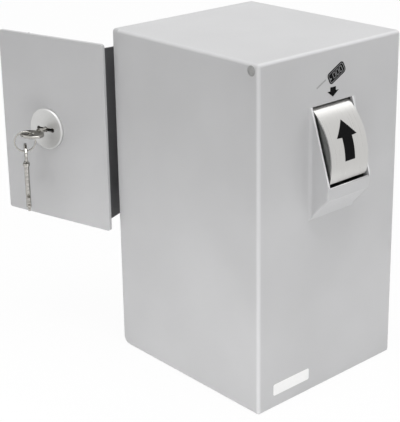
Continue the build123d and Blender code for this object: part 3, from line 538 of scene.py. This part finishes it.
splitRing = {
    "insideRadius": 0.0087, "wireWide": 0.0013, "wireThick": 0.00066,
    "corner": 0.00022, "cornerSteps": 3,
    "pitch": 0.00068, "turns": 2.0, "steps": 84,        # steps in each turn
    "startAngle": 200, "facing": (90, 0, -31),
}
ringRise = splitRing["pitch"] * splitRing["turns"]
ringSteps = int(splitRing["steps"] * splitRing["turns"])
bpy.ops.mesh.primitive_plane_add(
    size=1, rotation=(math.pi / 2, 0, 0),
    location=(splitRing["insideRadius"] + splitRing["wireWide"] / 2, 0, -ringRise / 2))
ring = bpy.context.active_object
ring.scale = (splitRing["wireWide"], splitRing["wireThick"], 1)
applyPlace()
pick(ring, "vertices", everywhere)
bpy.ops.mesh.bevel(offset=splitRing["corner"], segments=splitRing["cornerSteps"],
                   affect="VERTICES")
bpy.ops.mesh.delete(type="ONLY_FACE")
bpy.ops.object.mode_set(mode="OBJECT")
applyModifier(ring, "SCREW", {
    "axis": "Z", "angle": 2 * math.pi * splitRing["turns"], "screw_offset": ringRise,
    "steps": ringSteps, "render_steps": ringSteps, "use_merge_vertices": False})
bpy.ops.object.mode_set(mode="EDIT")
bpy.ops.mesh.select_mode(type="EDGE")
bpy.ops.mesh.select_all(action="DESELECT")
bpy.ops.mesh.select_non_manifold()      # the wire's two open ends
bpy.ops.mesh.fill_holes(sides=0)
bpy.ops.mesh.select_all(action="SELECT")
bpy.ops.mesh.normals_make_consistent(inside=False)
bpy.ops.mesh.faces_shade_smooth()
bpy.ops.object.mode_set(mode="OBJECT")
ring.rotation_euler.z = math.radians(splitRing["startAngle"])
applyPlace()
ring.rotation_euler = [math.radians(angle) for angle in splitRing["facing"]]
ringLow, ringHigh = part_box("key_ring")
ring.location = (ringLow + ringHigh) / 2
settle(ring, "splitRing", "nickelPlate", "ring")
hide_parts("key_ring")
print("split ring wound in two turns")

lockScrew = {
    # the screws are modelled on the shut door and turned with it about its hinge
    "hinge": (-0.0760, 0.080), "doorAngle": 104,
    "across": (-0.0158, 0.0430), "heights": (0.18165, 0.21845), "seat": 0.0599,
    "headRadius": 0.0029, "headHeight": 0.0018, "sides": 32, "rim": 0.0008, "rimSteps": 4,
    "shankRadius": 0.0015, "shankLength": 0.0285,
    "crossLong": 0.0030, "crossWide": 0.0007, "crossDeep": 0.0010, "crossTaper": 0.45,
    "smooth": 35,
}


def openDoor(piece):
    turn = math.radians(lockScrew["doorAngle"])
    x, y = lockScrew["hinge"]
    piece.rotation_euler = (0, 0, turn)
    piece.location = (x - x * math.cos(turn) + y * math.sin(turn),
                      y - x * math.sin(turn) - y * math.cos(turn), 0)
    applyPlace()


def panScrew(look, x, z):
    bpy.ops.mesh.primitive_cylinder_add(
        vertices=look["sides"], radius=look["headRadius"], depth=look["headHeight"],
        location=(x, look["seat"] - look["headHeight"] / 2, z), rotation=(math.pi / 2, 0, 0))
    screw = bpy.context.active_object
    applyPlace()
    outer = look["seat"] - look["headHeight"]
    pick(screw, "edges", lambda place: place.y < outer + nearly)
    bpy.ops.mesh.bevel(offset=look["rim"], segments=look["rimSteps"], affect="EDGES")
    pick(screw, "polygons", lambda place: place.y > look["seat"] - nearly)
    bpy.ops.mesh.inset(thickness=look["headRadius"] - look["shankRadius"])
    bpy.ops.mesh.extrude_region_move(
        TRANSFORM_OT_translate={"value": (0, look["shankLength"], 0)})
    bpy.ops.object.mode_set(mode="OBJECT")
    for wide, high in ((look["crossLong"], look["crossWide"]),
                       (look["crossWide"], look["crossLong"])):
        bpy.ops.mesh.primitive_cube_add(size=1, location=(x, outer, z))
        cutter = bpy.context.active_object
        cutter.scale = (wide, 2 * look["crossDeep"], high)
        applyPlace()
        pick(cutter, "polygons", lambda place: place.y > outer)
        bpy.ops.transform.resize(value=(look["crossTaper"], 1, look["crossTaper"]),
                                 center_override=(x, outer, z))
        bpy.ops.object.mode_set(mode="OBJECT")
        selectOnly(screw)
        applyModifier(screw, "BOOLEAN", {"operation": "DIFFERENCE", "solver": "EXACT",
                                         "object": cutter})
        bpy.data.objects.remove(cutter, do_unlink=True)
    return screw


lockScrews = joinPieces([panScrew(lockScrew, x, z)
                         for x in lockScrew["across"] for z in lockScrew["heights"]])
openDoor(lockScrews)
bpy.ops.object.shade_smooth_by_angle(angle=math.radians(lockScrew["smooth"]))
settle(lockScrews, "coverScrews", "zincFastener", "door")
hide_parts("lock_screws")
print("cross-recessed screws in the lock cover")

# fitted to the cabinet's corners and the door's in the photograph
view = {
    "place": (-0.69028, -0.70940, 0.52279), "turn": (71.8354, 0.8609, -41.7350),
    "lens": 101.521, "shift": (0.0, -0.16),
}
lens = bpy.data.cameras.new("photoCamera")
lens.lens = view["lens"]
lens.shift_x, lens.shift_y = view["shift"]
camera = bpy.data.objects.new("photoCamera", lens)
camera.location = view["place"]
camera.rotation_euler = [math.radians(angle) for angle in view["turn"]]
bpy.context.scene.collection.objects.link(camera)
bpy.context.scene.camera = camera
bpy.context.scene.view_settings.view_transform = "Standard"

studio = {
    "worldStrength": 0.30, "floorSize": 14.0, "floorColour": "#f4f4f4",
    "floorGlow": 0.95,      # the rest of the floor is lit, and keeps the cabinet's shadow
    "softboxes": [
        {"name": "topSoftbox", "place": (-0.42, -0.70, 4.3), "aim": (0, 0, 0.15),
         "size": (3.0, 3.0), "power": 122},
        {"name": "frontSoftbox", "place": (-1.3, -3.8, 1.6), "aim": (0, 0, 0.15),
         "size": (2.8, 2.4), "power": 19.5},
        {"name": "leftSoftbox", "place": (-3.6, -0.6, 1.2), "aim": (0, 0, 0.15),
         "size": (2.0, 2.0), "power": 2.5},
        {"name": "rightSoftbox", "place": (2.4, -0.2, 2.5), "aim": (0, 0, 0.2),
         "size": (1.3, 1.3), "power": 9},
        # two low strips lift the foot of the walls, as a white table does
        {"name": "leftLowStrip", "place": (-0.30, -0.04, 0.02), "aim": (-0.083, -0.03, 0.0),
         "size": (0.34, 0.03), "power": 0.17, "inMirrors": False},
        {"name": "frontLowStrip", "place": (0.02, -0.31, 0.02), "aim": (0.02, -0.09, 0.0),
         "size": (0.40, 0.03), "power": 0.07},
    ],
}


def whiteForCamera(tree):
    # 1 for the camera and for what it sees in a mirror or through glass, so both see white
    path = addNode(tree, "ShaderNodeLightPath")
    seen = addNode(tree, "ShaderNodeMath", {"operation": "MAXIMUM"},
                   [(0, path, "Is Camera Ray"), (1, path, "Is Glossy Ray")])
    return addNode(tree, "ShaderNodeMath", {"operation": "MAXIMUM"},
                   [(0, seen, "Value"), (1, path, "Is Transmission Ray")])


world = bpy.data.worlds.new("studioWorld")
bpy.context.scene.world = world
world.use_nodes = True
world.node_tree.nodes.clear()
strength = addNode(world.node_tree, "ShaderNodeMapRange",
                   {"To Min": studio["worldStrength"], "To Max": 1.0},
                   [("Value", whiteForCamera(world.node_tree), "Value")])
sky = addNode(world.node_tree, "ShaderNodeBackground", {"Color": (1, 1, 1, 1)},
              [("Strength", strength, "Result")])
addNode(world.node_tree, "ShaderNodeOutputWorld", {}, [("Surface", sky, "Background")])

for softbox in studio["softboxes"]:
    lamp = bpy.data.lights.new(softbox["name"], "AREA")
    lamp.shape = "RECTANGLE"
    lamp.size, lamp.size_y = softbox["size"]
    lamp.energy = softbox["power"]
    holder = bpy.data.objects.new(softbox["name"], lamp)
    holder.location = softbox["place"]
    holder.visible_camera = False
    holder.visible_glossy = softbox.get("inMirrors", True)
    aim = Vector(softbox["aim"]) - Vector(softbox["place"])
    holder.rotation_euler = aim.to_track_quat("-Z", "Y").to_euler()
    bpy.context.scene.collection.objects.link(holder)

bpy.ops.object.select_all(action="DESELECT")
bpy.ops.mesh.primitive_plane_add(size=studio["floorSize"], location=(0, 0, 0))
floor = bpy.context.active_object
floor.name = "studioFloor"
paleFloor, tree = startMaterial("paleFloor")
lit = addNode(tree, "ShaderNodeBsdfDiffuse", {"Color": linearColour(studio["floorColour"])})
glow = addNode(tree, "ShaderNodeEmission", {"Color": (1, 1, 1, 1), "Strength": 1.0})
share = addNode(tree, "ShaderNodeMath", {"operation": "MULTIPLY", 1: studio["floorGlow"]},
                [(0, whiteForCamera(tree), "Value")])
blend = addNode(tree, "ShaderNodeMixShader", {},
                [("Fac", share, "Value"), (1, lit, "BSDF"), (2, glow, "Emission")])
addNode(tree, "ShaderNodeOutputMaterial", {}, [("Surface", blend, "Shader")])
floor.data.materials.append(paleFloor)
print("camera, softboxes and floor")
